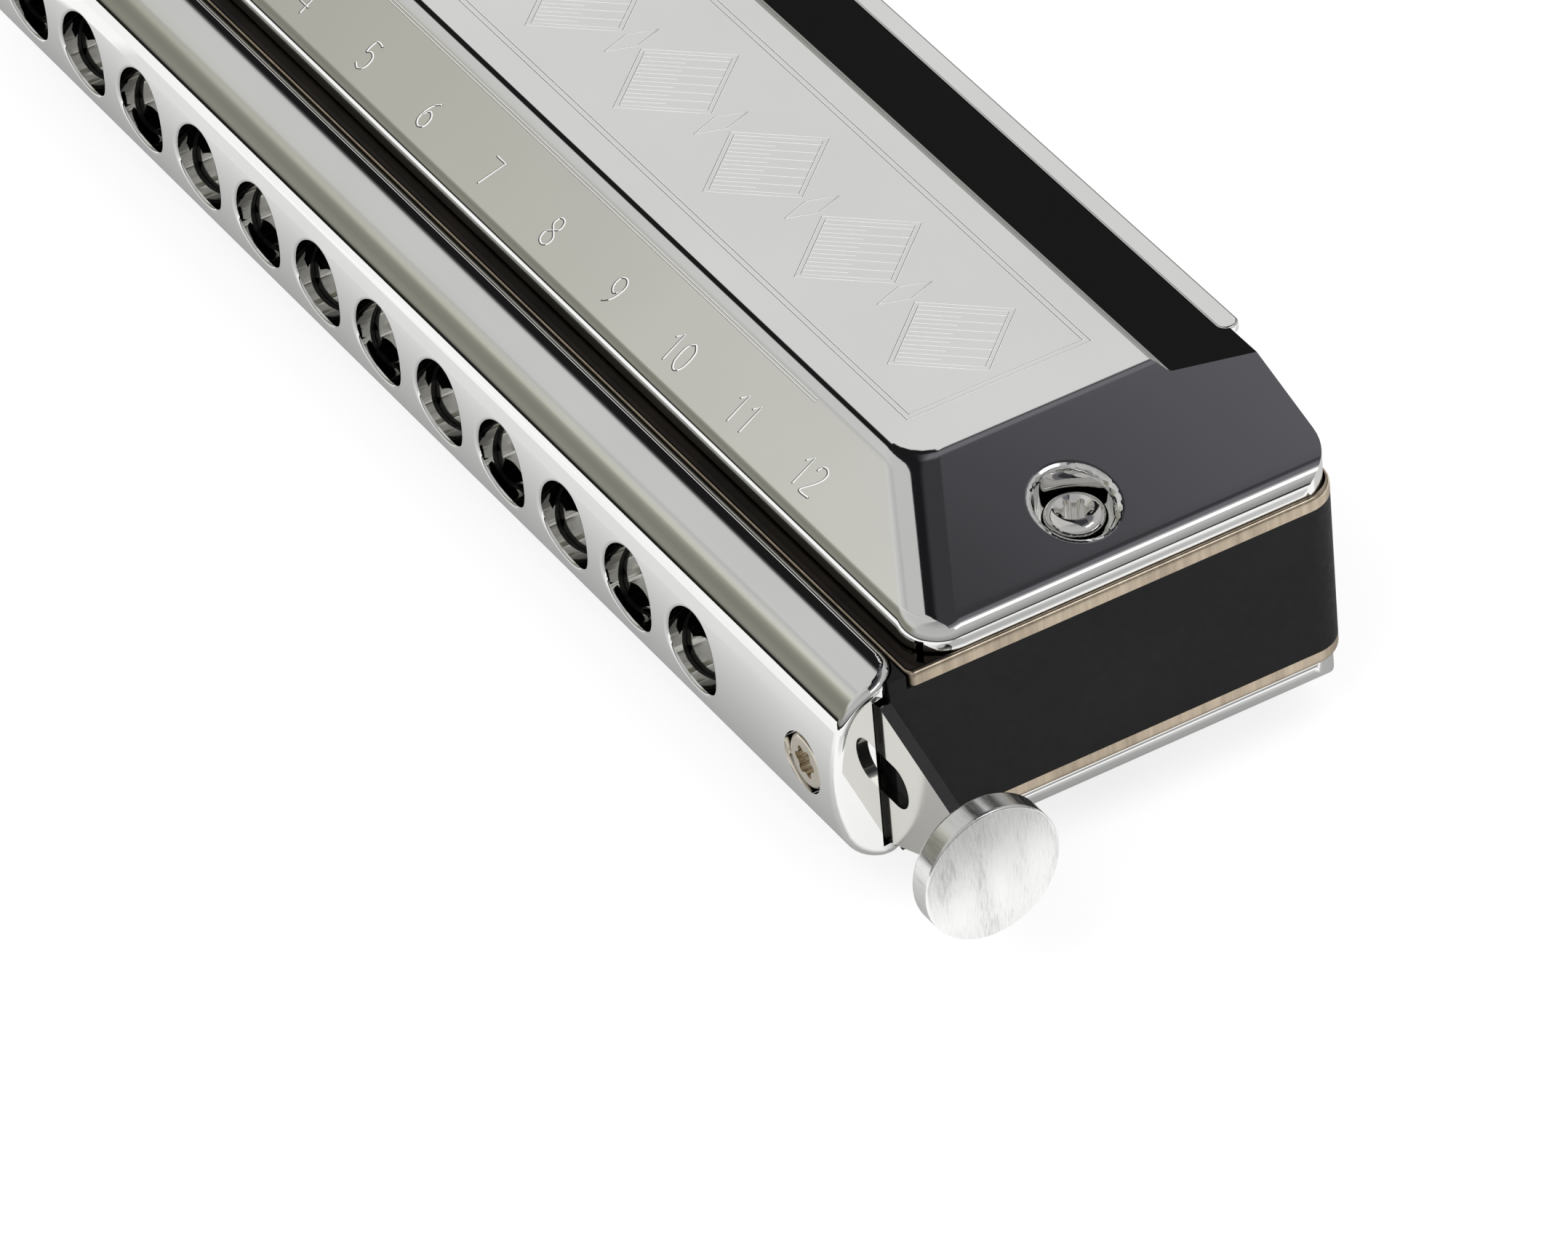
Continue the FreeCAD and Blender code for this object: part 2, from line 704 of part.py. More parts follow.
def make_channel_plate():
    """Plate behind the slide, with a rail above and below it."""
    body = doc.addObject("PartDesign::Body", "ChannelBody")
    profile = sketch(body, "ChannelProfile", "YZ_Plane")
    rail = HALF_COMB - size("rail_tall") + 0.02 + GAP
    front = Y_GUIDE + size("guide_thk")
    outline(profile, [
        (front, Z_MID - HALF_COMB),
        (Y_GASKET, Z_MID - HALF_COMB),
        (Y_GASKET, Z_MID + HALF_COMB),
        (front, Z_MID + HALF_COMB),
        (front, Z_MID + rail),
        (Y_BACK, Z_MID + rail),
        (Y_BACK, Z_MID - rail),
        (front, Z_MID - rail),
    ])
    pad(body, "ChannelBar", profile, (X_EAR - 0.1) * 2, True)
    tools = air_windows("Channel", Y_BACK - 0.5, Y_GASKET + 0.5)
    tools += screw_bores("Channel", Y_BACK - 0.5, Y_GASKET + 0.5, size("screw_rad") + 0.1)
    return cut("ChannelPlate", body, group("ChannelTools", tools))


def make_gasket():
    """Thin gasket between the channel plate and the comb."""
    strip = box("GasketStrip", -X_EAR + 0.1, X_EAR - 0.1, Y_GASKET, Y_COMB, Z_MID - HALF_COMB, Z_MID + HALF_COMB)
    tools = air_windows("Gasket", Y_GASKET - 0.5, Y_COMB + 0.5)
    tools += screw_bores("Gasket", Y_GASKET - 0.5, Y_COMB + 0.5, size("screw_rad") + 0.1)
    return cut("Gasket", strip, group("GasketTools", tools))


def make_bumpers():
    """Rubber sleeves on the mouthpiece screws, which stop the slide."""
    items = []
    for side in (-1, 1):
        x = size("screw_x") * side
        outer = rod("BumperOuter", "Y", size("bumper_rad"), x, Y_GUIDE + size("guide_thk"), Z_MID,
                    size("slide_thk") + GAP * 2)
        inner = rod("BumperInner", "Y", size("screw_rad"), x, Y_GUIDE, Z_MID, size("slide_thk") + 2)
        items.append(cut("Bumper", outer, inner))
    return group("Bumpers", items)


def make_springs():
    """Two folded springs side by side, one above and one below the left screw."""
    folds = 4
    start = X_SEAT
    end = X_SLIDE_LEFT - size("spring_gap")
    wire = size("spring_wire")
    step = (end - start - wire) / (2 * folds)
    y0 = Y_SLIDE + 0.1
    y1 = Y_SLIDE_END - 0.1
    springs = []
    for side in (-1, 1):
        low = size("spring_low") if side > 0 else -size("spring_high")
        high = size("spring_high") if side > 0 else -size("spring_low")
        legs = []
        for index in range(2 * folds + 1):
            x = start + step * index
            legs.append(box("SpringLeg", x, x + wire, y0, y1, Z_MID + low, Z_MID + high))
            if index == 2 * folds:
                break
            z = high - wire if index % 2 == 0 else low
            legs.append(box("SpringTurn", x, x + step + wire, y0, y1, Z_MID + z, Z_MID + z + wire))
        springs.append(fuse("Spring", legs))
    return group("Springs", springs)


# ---------------------------------------------------------------- comb and reeds

def make_comb():
    """Plastic comb: 24 air chambers, end blocks and a spring seat in front."""
    body = doc.addObject("PartDesign::Body", "CombBody")
    plan = sketch(body, "CombPlan", "XY_Plane", Z_MID)
    outline(plan, [
        (-BODY_END, Y_SLIDE),
        (X_SEAT, Y_SLIDE),
        (X_SEAT, Y_EAR),
        (-X_EAR, Y_EAR),
        (-X_EAR, Y_COMB),
        (X_EAR, Y_COMB),
        (X_EAR, Y_EAR),
        (BODY_END, Y_EAR),
        (BODY_END, Y_REAR),
        (-BODY_END, Y_REAR),
    ])
    block = pad(body, "CombBlock", plan, size("comb_tall"), True)

    def rear_corner(edge, span, middle):
        return upright(edge, span, middle) and middle.y > Y_REAR.value - 0.01

    fillet(body, "CombCorners", block, size("comb_corner"), rear_corner)
    half = (PITCH - size("chamber_wall")) / 2
    web = size("web_thk") / 2
    tools = air_windows("Comb", Y_COMB - 1, Y_CHAMBER + 0.5)
    for index in range(HOLES):
        x = hole_x(index)
        end = Y_SLOT + slot_length(index) + size("reed_pad") + 1
        tools.append(box("ChamberTop", x - half, x + half, Y_CHAMBER, end, Z_MID + web, Z_COMB + 1))
        tools.append(box("ChamberLow", x - half, x + half, Y_CHAMBER, end,
                         Z_MID - HALF_COMB - 1, Z_MID - web))
    tools += screw_bores("Insert", Y_COMB - 1, Y_COMB + size("insert_len") + 0.1, size("insert_rad"))
    tools += cover_bolt_holes("Comb")
    for x, y in plate_screw_places():
        tools.append(rod("CombPilot", "Z", size("plate_screw_rad"), x, y, Z_COMB - 4.1, dim(5)))
        tools.append(rod("CombPilot", "Z", size("plate_screw_rad"), x, y, Z_MID - HALF_COMB - 1, dim(5.1)))
    return cut("Comb", body, group("CombTools", tools))


def make_ears():
    """Small corner blocks that close the notch between lips and reed plates."""
    radius = size("mouth_end_rad") + 0.1
    x_axis = BODY_END - size("mouth_end_rad")
    y_axis = Y_LIP - size("mouth_end_rad")
    items = []
    for z0, z1 in ((Z_COMB, Z_PLATE), (Z_MID - HALF_COMB - PLATE, Z_MID - HALF_COMB)):
        block = box("EarBlock", x_axis, BODY_END, Y_EAR, Y_LIP, z0, z1)
        round_cut = rod("EarRound", "Z", radius, x_axis, y_axis, z0 - 1, z1 - z0 + 2)
        right = cut("EarRight", block, round_cut)
        items += [right, mirrored("EarLeft", right, VEC(1, 0, 0))]
    return items


def cover_bolt_holes(name):
    """Holes for the two bolts that hold the covers."""
    radius = size("bolt_rad") + size("bolt_gap")
    y = Y_COMB + size("bolt_y")
    return [rod(name + "BoltHole", "Z", radius, size("bolt_x") * side, y, dim(-1), Z_MID * 2 + 2) for side in (-1, 1)]


def plate_screw_places():
    """Three screws in front of the reeds and three behind, between chambers."""
    places = []
    for y in (Y_COMB + 4.8, Y_REAR - 7):
        for step in (-4, 0, 4):
            places.append((PITCH * step, y))
    return places


def blow_rivet_y(index):
    """Rivet of a blow reed, behind its slot."""
    return Y_SLOT + slot_length(index) + size("reed_pad") / 2


def draw_rivet_y(index):
    """Rivet of a draw reed, in front of its slot."""
    return Y_SLOT - size("reed_pad") / 2


def rivets(name, radius):
    """Rivets, or the holes for them, of the upper plate."""
    items = []
    head = size("rivet_head")
    for index in range(HOLES):
        x = hole_x(index)
        z0 = Z_COMB - size("reed_thk") - head
        items.append(rod(name, "Z", radius, x - size("reed_offset"), blow_rivet_y(index), z0,
                         PLATE + size("reed_thk") + head * 2))
        items.append(rod(name, "Z", radius, x + size("reed_offset"), draw_rivet_y(index), Z_COMB - head,
                         PLATE + size("reed_thk") + head * 2))
    return items


def make_reed_plate():
    """Upper reed plate with 24 slots."""
    body = doc.addObject("PartDesign::Body", "PlateBody")
    plan = sketch(body, "PlatePlan", "XY_Plane", Z_COMB)
    rectangle(plan, -BODY_END, BODY_END, Y_PLATE, Y_REAR)
    slab = pad(body, "PlateSlab", plan, PLATE)

    def front(edge, span, middle):
        return upright(edge, span, middle) and middle.y < 0

    def rear(edge, span, middle):
        return upright(edge, span, middle) and middle.y > 0

    blunt = fillet(body, "PlateFront", slab, size("plate_front"), front)
    corners = fillet(body, "PlateCorners", blunt, size("comb_corner"), rear)
    fillet(body, "PlateEdge", corners, size("plate_edge"), level(Z_PLATE))
    tools = rivets("PlateRivetHole", size("rivet_rad"))
    half = size("slot_wide") / 2
    for index in range(HOLES):
        for side in (-1, 1):
            x = hole_x(index) + size("reed_offset") * side
            tools.append(box("ReedSlot", x - half, x + half, Y_SLOT, Y_SLOT + slot_length(index),
                             Z_COMB - 1, Z_PLATE + 1))
    for x, y in plate_screw_places():
        tools.append(rod("PlateScrewHole", "Z", size("plate_screw_rad"), x, y, Z_COMB - 1, PLATE + 2))
    tools += cover_bolt_holes("Plate")
    return cut("ReedPlate", body, group("PlateTools", tools))


def make_reeds(kind):
    """Blow reeds lie inside the chambers, draw reeds on the outer face."""
    half = size("reed_wide") / 2
    strips = []
    for index in range(HOLES):
        end = Y_SLOT + slot_length(index)
        if kind == "blow":
            x = hole_x(index) - size("reed_offset")
            strips.append(box("BlowReed", x - half, x + half, Y_SLOT + 0.1, end + size("reed_pad"),
                              Z_COMB - size("reed_thk"), Z_COMB))
        else:
            x = hole_x(index) + size("reed_offset")
            strips.append(box("DrawReed", x - half, x + half, Y_SLOT - size("reed_pad"), end - 0.1,
                              Z_PLATE, Z_PLATE + size("reed_thk")))
    return cut(kind.capitalize() + "Reeds", group(kind + "Strips", strips),
               group(kind + "Holes", rivets("ReedHole", size("rivet_rad"))))


def make_valves(outer):
    """Thin valve strips, each over the slot of the reed on the other face."""
    half = size("valve_wide") / 2
    items = []
    for index in range(HOLES):
        end = Y_SLOT + slot_length(index)
        if outer:
            x = hole_x(index) - size("reed_offset")
            items.append(box("OuterValve", x - half, x + half, Y_SLOT - 0.6, end + 1.2,
                             Z_PLATE, Z_PLATE + size("valve_thk")))
        else:
            x = hole_x(index) + size("reed_offset")
            items.append(box("InnerValve", x - half, x + half, Y_SLOT - 1.2, end + 0.6,
                             Z_COMB - size("valve_thk"), Z_COMB))
    return group("OuterValves" if outer else "InnerValves", items)


def make_plate_screws():
    """Six small screws that hold the upper reed plate to the comb."""
    items = []
    for x, y in plate_screw_places():
        head = rod("PlateScrewHead", "Z", size("plate_screw_head"), x, y, Z_PLATE, dim(0.7))
        shank = rod("PlateScrewShank", "Z", size("plate_screw_rad"), x, y, Z_COMB - 4, dim(4) + PLATE)
        nick = box("PlateScrewNick", x - 0.95, x + 0.95, y - 0.17, y + 0.17, Z_PLATE + 0.35, Z_PLATE + 1)
        items.append(cut("PlateScrew", fuse("PlateScrewWhole", [head, shank]), nick))
    return group("PlateScrews", items)


def make_inserts():
    """Threaded inserts in the comb's front."""
    items = []
    for side in (-1, 1):
        x = size("screw_x") * side
        outer = rod("InsertOuter", "Y", size("insert_rad"), x, Y_COMB, Z_MID, size("insert_len"))
        inner = rod("InsertInner", "Y", size("screw_rad"), x, Y_COMB - 1, Z_MID, size("insert_len") + 2)
        items.append(cut("Insert", outer, inner))
    return group("Inserts", items)


# ---------------------------------------------------------------- covers

# the bead above the upright edge, per unit of its radius: height, set-in at the ends, at the front
BEAD = ((-0.720, 0.0, 0.0), (-0.512, 0.022, 0.001), (-0.313, 0.087, 0.030), (-0.132, 0.191, 0.094),
        (0.023, 0.331, 0.184), (0.146, 0.500, 0.287), (0.228, 0.683, 0.379), (0.292, 0.872, 0.469))


# The same between the slopes and the roof: how far below the roof, then how far
# in from where the planes would meet, at the ends and at the front.
RIDGE = ((0.153, -0.457, -0.244), (0.085, -0.254, -0.116), (0.052, -0.155, -0.030),
         (0.020, -0.036, 0.089), (0.004, 0.073, 0.198), (0.0, 0.163, 0.288))


def cover_blank(name, inset, foot, rounded):
    """Solid inside the cover's surface, set in by the sheet's thickness or not:
    an upright edge, then slopes to the roof at the front and both ends. It runs
    on past the rear, where trim_rear ends it."""
    body = doc.addObject("PartDesign::Body", name)
    x1 = BODY_END - size("cover_inset") - inset
    y0 = Y_COMB + size("cover_front") + inset
    y1 = Y_REAR + 12
    radius = size("cover_corner") - inset
    shoulder = Z_SHOULDER - inset * 0.6
    steps = [(shoulder, dim(0), dim(0))]
    if rounded:
        bead = size("skirt_bead")
        steps = [(shoulder + bead * up, bead * end, bead * front) for up, end, front in BEAD]
    low = sketch(body, name + "Base", "XY_Plane", foot)
    soft_rectangle(low, -x1, x1, y0, y1, radius)
    skirt = pad(body, name + "Skirt", low, steps[0][0] - foot)
    if rounded:
        fillet(body, name + "Foot", skirt, size("skirt_foot"), level(foot))
    rings = []
    for up, end, front in steps:
        ring = sketch(body, name + "Ring", "XY_Plane", up)
        soft_rectangle(ring, -x1 + end, x1 - end, y0 + front, y1, radius - end * 0.3)
        rings.append(ring)
    top_x = size("roof_half") - inset * 0.15
    top_y = Y_COMB + size("cover_front") + size("roof_front") + inset * 0.3
    ridge = size("ridge_rad")
    turns = RIDGE if rounded else ((0.0, 0.0, 0.0),)
    for down, end, front in turns:
        ring = sketch(body, name + "Ridge", "XY_Plane", Z_PANEL - inset - ridge * down)
        x_ring = top_x - ridge * end
        soft_rectangle(ring, -x_ring, x_ring, top_y + ridge * front, y1 - 3, size("panel_corner") - inset)
        rings.append(ring)
    roof = body.newObject("PartDesign::AdditiveLoft", name + "Slopes")
    roof.Profile = rings[0]
    roof.Sections = [(ring, [""]) for ring in rings[1:]]
    roof.Ruled = True
    doc.recompute()
    return body


def trim_rear(body, name, inset):
    """Ends the blank flat at the rear, with round corners in plan."""
    x1 = BODY_END - size("cover_inset") - inset
    y1 = Y_REAR - size("cover_inset") - inset
    radius = size("cover_corner") - inset
    far = Y_REAR + 14
    profile = sketch(body, name + "TrimPlan", "XY_Plane", Z_MID)
    outline(profile, [
        (-x1 - 1, y1 - radius),
        (-x1, y1 - radius, -x1 + radius, y1 - radius, -1),
        (-x1 + radius, y1),
        (x1 - radius, y1, x1 - radius, y1 - radius, -1),
        (x1, y1 - radius),
        (x1 + 1, y1 - radius),
        (x1 + 1, far),
        (-x1 - 1, far),
    ])
    return through(body, name + "Trim", profile)


def rear_fall(body, name, inset):
    """Steps the roof down behind the panel, then tilts it down to the rear."""
    section = sketch(body, name + "Fall", "YZ_Plane")
    panel_end = deep(D_ROOF + size("panel_deep"))
    step = size("panel_step")
    top = Z_PANEL - inset
    rise = size("panel_rise")
    far = Y_REAR + 14
    foot = panel_end + step
    fall = size("roof_fall") * ((far - foot) / (Y_REAR - foot))
    outline(section, [
        (panel_end, top),
        (panel_end + step * 0.3, top - rise * 0.18),
        (panel_end + step * 0.7, top - rise * 0.82),
        (foot, top - rise),
        (far, top - rise - fall),
        (far, top + 1),
        (panel_end, top + 1),
    ])
    return through(body, name + "Strip", section)


def dimple_places():
    """Middles of the two bolts' dimples."""
    y = Y_COMB + size("bolt_y")
    return [(size("bolt_x") * side, y) for side in (-1, 1)]


def make_cover():
    """Upper cover: pressed sheet with a raised panel, open at the rear."""
    zero = dim(0)
    outer = cover_blank("CoverOuter", zero, Z_PLATE, True)
    rear_fall(outer, "CoverOuter", zero)
    trim_rear(outer, "CoverOuter", zero)
    doc.recompute()
    seats = sketch(outer, "DimplePlan", "XY_Plane", Z_PLATE + size("dimple_floor"))
    for x, y in dimple_places():
        circle_at(seats, x, y, size("dimple_rad"))
    dimples = outer.newObject("PartDesign::Pocket", "Dimples")
    dimples.Profile = seats
    dimples.Type = "ThroughAll"
    dimples.Reversed = True
    doc.recompute()
    x_bolt = size("bolt_x").value
    y_bolt = dimple_places()[0][1].value
    reach = size("dimple_rad").value

    def dimple_rim(edge, span, middle):
        for side in (-1, 1):
            away = math.hypot(middle.x - x_bolt * side, middle.y - y_bolt)
            if abs(away - reach) < 0.01 and span.ZLength > 0.05 and span.YLength > 1:
                return True
        return False

    fillet(outer, "DimpleRims", dimples, size("dimple_edge"), dimple_rim)
    doc.recompute()

    inner = cover_blank("CoverInner", WALL, Z_PLATE - 1, False)
    rear_fall(inner, "CoverInner", WALL)
    trim_rear(inner, "CoverInner", WALL)
    posts = [rod("BoltPost", "Z", size("dimple_rad") + WALL, x, y, Z_PLATE - 2, dim(8)) for x, y in dimple_places()]
    void = cut("CoverVoid", inner, group("BoltPosts", posts))
    opening = box("RearOpening", -size("roof_half"), size("roof_half"), Y_REAR - 2.5, Y_REAR + 2,
                  Z_PLATE - 1, Z_ROOF - WALL - size("roof_fall") - 0.1)
    shell = cut("CoverShell", outer, group("CoverSpaces", [void, opening]))

    y_lip = Y_REAR + size("lip_out")
    z_lip = Z_ROOF - size("roof_fall") + 0.1
    lip_body = doc.addObject("PartDesign::Body", "LipBody")
    plan = sketch(lip_body, "LipPlan", "XY_Plane", z_lip)
    x_lip = size("roof_half") - 0.8
    soft_rectangle(plan, -x_lip, x_lip, y_lip - size("lip_deep"), y_lip, dim(0.85))
    lip = pad(lip_body, "Lip", plan, WALL)
    lip.Reversed = True
    fillet(lip_body, "LipEdge", lip, WALL * 0.3, level(z_lip))
    pockets = cover_bolt_holes("Cover")
    pockets.append(box("SkirtNotch", BODY_END - 2.1, BODY_END - 1.5, Y_COMB + 1, Y_COMB + 3.6,
                       Z_PLATE - 1, Z_PLATE + 1.0))
    whole = fuse("CoverWhole", [shell, lip_body])
    return cut("TopCover", whole, group("CoverPockets", pockets))


def make_bolts():
    """Two bolts through both covers, with domed heads above."""
    y = Y_COMB + size("bolt_y")
    z_seat = Z_PLATE + size("dimple_floor")
    z_tail = Z_MID * 2 - z_seat - size("nut_thk")
    z_top = z_seat + size("bolt_head_thk")
    items = []
    for side in (-1, 1):
        x = size("bolt_x") * side
        head = rod("BoltHead", "Z", size("bolt_head_rad"), x, y, z_seat, size("bolt_head_thk"))
        soft = domed("BoltDome", head, lambda c: c.z > z_top.value - 0.01, size("bolt_dome"))
        shank = rod("BoltShank", "Z", size("bolt_rad"), x, y, z_tail, z_seat - z_tail)
        bowl = doc.addObject("Part::Cone", "BoltBowl")
        bind(bowl, "Radius1", size("bolt_head_rad") * 0.4)
        bind(bowl, "Radius2", size("bolt_head_rad") * 0.72)
        bind(bowl, "Height", dim(0.6))
        place(bowl, x, y, z_top - 0.4)
        drive = torx("BoltDrive", "Z", x, y, z_top - 1.4, size("bolt_head_rad") * 0.5, dim(2))
        items.append(cut("Bolt", fuse("BoltWhole", [soft, shank]), fuse("BoltHollow", [bowl, drive])))
    return group("Bolts", items)


def make_nuts():
    """Two six-sided nuts in the bottom cover's recesses."""
    y = Y_COMB + size("bolt_y")
    z_seat = Z_MID * 2 - Z_PLATE - size("dimple_floor")
    items = []
    for side in (-1, 1):
        x = size("bolt_x") * side
        block = doc.addObject("Part::Prism", "NutBlock")
        block.Polygon = 6
        bind(block, "Circumradius", size("nut_rad"))
        bind(block, "Height", size("nut_thk"))
        place(block, x, y, z_seat - size("nut_thk"))
        bore = rod("NutBore", "Z", size("bolt_rad"), x, y, z_seat - 4, dim(8))
        items.append(cut("Nut", block, bore))
    return group("Nuts", items)


# ---------------------------------------------------------------- assembly

DOWN = VEC(0, 0, 1)
node(make_mouthpiece(), "mouthpiece")
node(make_mouth_screws(), "mouthpiece_screws")
node(make_guide(), "slide_guide_plate")
node(make_slide(), "slide")
node(make_button(), "slide_button")
node(make_channel_plate(), "slide_channel_plate")
node(make_gasket(), "comb_gasket")
node(make_bumpers(), "slide_bumpers")
node(make_springs(), "slide_return_springs")
node(fuse("CombWithEars", [make_comb()] + make_ears()), "comb")
node(make_inserts(), "comb_threaded_inserts")
plate = node(make_reed_plate(), "top_reed_plate")
node(mirrored("LowPlate", plate, DOWN), "bottom_reed_plate")
for kind in ("blow", "draw"):
    reeds = node(make_reeds(kind), "top_%s_reeds" % kind)
    node(mirrored("LowReeds", reeds, DOWN), "bottom_%s_reeds" % kind)
pins = node(group("Rivets", rivets("Rivet", size("rivet_rad"))), "top_reed_rivets")
node(mirrored("LowRivets", pins, DOWN), "bottom_reed_rivets")
for outer in (True, False):
    word = "outer" if outer else "inner"
    strips = node(make_valves(outer), "top_%s_valves" % word)
    node(mirrored("LowValves", strips, DOWN), "bottom_%s_valves" % word)
screws = node(make_plate_screws(), "top_plate_screws")
node(mirrored("LowPlateScrews", screws, DOWN), "bottom_plate_screws")
cover = node(make_cover(), "top_cover")
node(mirrored("BottomCover", cover, DOWN), "bottom_cover")
node(make_bolts(), "cover_bolts")
node(make_nuts(), "cover_nuts")
doc.recompute()

faults = []
for item in doc.Objects:
    if "Invalid" in item.State or "Error" in item.State:
        faults.append("%s (%s): %s" % (item.Name, item.Label, item.State))
for item in NODES:
    if item.Shape.isNull() or not item.Shape.isValid() or not item.Shape.Solids:
        faults.append("%s has no valid solid" % item.Label)
if faults:
    raise RuntimeError("; ".join(faults))

os.makedirs("parts", exist_ok=True)
for item in NODES:
    item.Shape.exportStep("parts/%s.step" % item.Label)
    span = item.Shape.BoundBox
    print("%-24s %2d solids %9.1f mm3  x %.2f..%.2f  y %.2f..%.2f  z %.2f..%.2f" % (
        item.Label, len(item.Shape.Solids), item.Shape.Volume,
        span.XMin, span.XMax, span.YMin, span.YMax, span.ZMin, span.ZMax))
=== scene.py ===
"""Looks of the chromatic harmonica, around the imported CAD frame."""
import math
import bpy
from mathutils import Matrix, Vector


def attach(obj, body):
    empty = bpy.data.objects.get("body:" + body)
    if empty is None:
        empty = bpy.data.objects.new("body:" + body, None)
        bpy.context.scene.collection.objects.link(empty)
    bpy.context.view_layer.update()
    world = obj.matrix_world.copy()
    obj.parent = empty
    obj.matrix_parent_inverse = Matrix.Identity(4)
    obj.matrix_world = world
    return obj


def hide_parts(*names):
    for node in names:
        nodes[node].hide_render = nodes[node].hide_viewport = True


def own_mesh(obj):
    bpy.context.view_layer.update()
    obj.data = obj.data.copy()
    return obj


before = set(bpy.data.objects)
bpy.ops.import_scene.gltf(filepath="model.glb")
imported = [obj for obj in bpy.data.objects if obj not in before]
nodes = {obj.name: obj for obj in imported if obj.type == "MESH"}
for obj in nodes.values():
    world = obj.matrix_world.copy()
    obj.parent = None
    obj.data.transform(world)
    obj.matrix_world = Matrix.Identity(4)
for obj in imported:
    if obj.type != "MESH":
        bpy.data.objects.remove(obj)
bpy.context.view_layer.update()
scene = bpy.context.scene

MM = 0.001
PITCH = 9.3          # between the holes, in millimetres
HOLES = 12


# ---------------------------------------------------------------- node helpers

class Net:
    """A material's node tree, with short ways to add nodes."""

    def __init__(self, name):
        self.mat = bpy.data.materials.new(name)
        self.mat.use_nodes = True
        self.tree = self.mat.node_tree
        self.tree.nodes.clear()
        self.out = self.tree.nodes.new("ShaderNodeOutputMaterial")
        self.shader = self.tree.nodes.new("ShaderNodeBsdfPrincipled")
        self.link(self.shader.outputs["BSDF"], self.out.inputs["Surface"])
        self.coord = self.tree.nodes.new("ShaderNodeTexCoord")

    def link(self, source, target):
        self.tree.links.new(source, target)

    def set(self, name, value):
        self.shader.inputs[name].default_value = value

    def place(self, scale=(1, 1, 1), turn=(0, 0, 0)):
        """Object coordinates, scaled per axis."""
        node = self.tree.nodes.new("ShaderNodeMapping")
        node.inputs["Scale"].default_value = scale
        node.inputs["Rotation"].default_value = turn
        self.link(self.coord.outputs["Object"], node.inputs["Vector"])
        return node.outputs["Vector"]

    def noise(self, vector, scale, detail=4.0, rough=0.55):
        node = self.tree.nodes.new("ShaderNodeTexNoise")
        node.inputs["Scale"].default_value = scale
        node.inputs["Detail"].default_value = detail
        node.inputs["Roughness"].default_value = rough
        self.link(vector, node.inputs["Vector"])
        return node.outputs["Fac"]

    def span(self, value, low, high, to_low, to_high):
        node = self.tree.nodes.new("ShaderNodeMapRange")
        node.inputs["From Min"].default_value = low
        node.inputs["From Max"].default_value = high
        node.inputs["To Min"].default_value = to_low
        node.inputs["To Max"].default_value = to_high
        self.link(value, node.inputs["Value"])
        return node.outputs["Result"]

    def ramp(self, value, stops):
        node = self.tree.nodes.new("ShaderNodeValToRGB")
        elements = node.color_ramp.elements
        while len(elements) < len(stops):
            elements.new(0.5)
        for element, (where, colour) in zip(elements, stops):
            element.position = where
            element.color = (*colour, 1)
        self.link(value, node.inputs["Fac"])
        return node.outputs["Color"]

    def math(self, kind, a, b):
        node = self.tree.nodes.new("ShaderNodeMath")
        node.operation = kind
        for socket, value in zip(node.inputs, (a, b)):
            if isinstance(value, (int, float)):
                socket.default_value = value
            else:
                self.link(value, socket)
        return node.outputs["Value"]

    def bump(self, height, depth, strength=1.0):
        node = self.tree.nodes.new("ShaderNodeBump")
        node.inputs["Strength"].default_value = strength
        node.inputs["Distance"].default_value = depth
        self.link(height, node.inputs["Height"])
        self.link(node.outputs["Normal"], self.shader.inputs["Normal"])


def metal(name, colours, rough, grain=(1, 1, 1), grain_scale=900, depth=2e-6, mottling=60):
    """Metal: slight colour variation, roughness that varies, and a fine grain."""
    net = Net(name)
    net.set("Metallic", 1.0)
    soft = net.noise(net.place(), mottling, 5)
    net.link(net.ramp(soft, [(0.3, colours[0]), (0.7, colours[1])]), net.shader.inputs["Base Color"])
    fine = net.noise(net.place(grain), grain_scale, 6, 0.6)
    both = net.math("ADD", net.math("MULTIPLY", fine, 0.7), net.math("MULTIPLY", soft, 0.3))
    net.link(net.span(both, 0.3, 0.7, rough[0], rough[1]), net.shader.inputs["Roughness"])
    if depth:
        net.bump(fine, depth)
    return net.mat


def plastic(name, colours, rough, grain_scale=1500, depth=6e-6, shine=0.5):
    """Moulded plastic or rubber with a fine grain."""
    net = Net(name)
    net.set("Specular IOR Level", shine)
    soft = net.noise(net.place(), 90, 4)
    net.link(net.ramp(soft, [(0.3, colours[0]), (0.7, colours[1])]), net.shader.inputs["Base Color"])
    fine = net.noise(net.place(), grain_scale, 3, 0.5)
    net.link(net.span(fine, 0.3, 0.7, rough[0], rough[1]), net.shader.inputs["Roughness"])
    net.bump(fine, depth)
    return net.mat


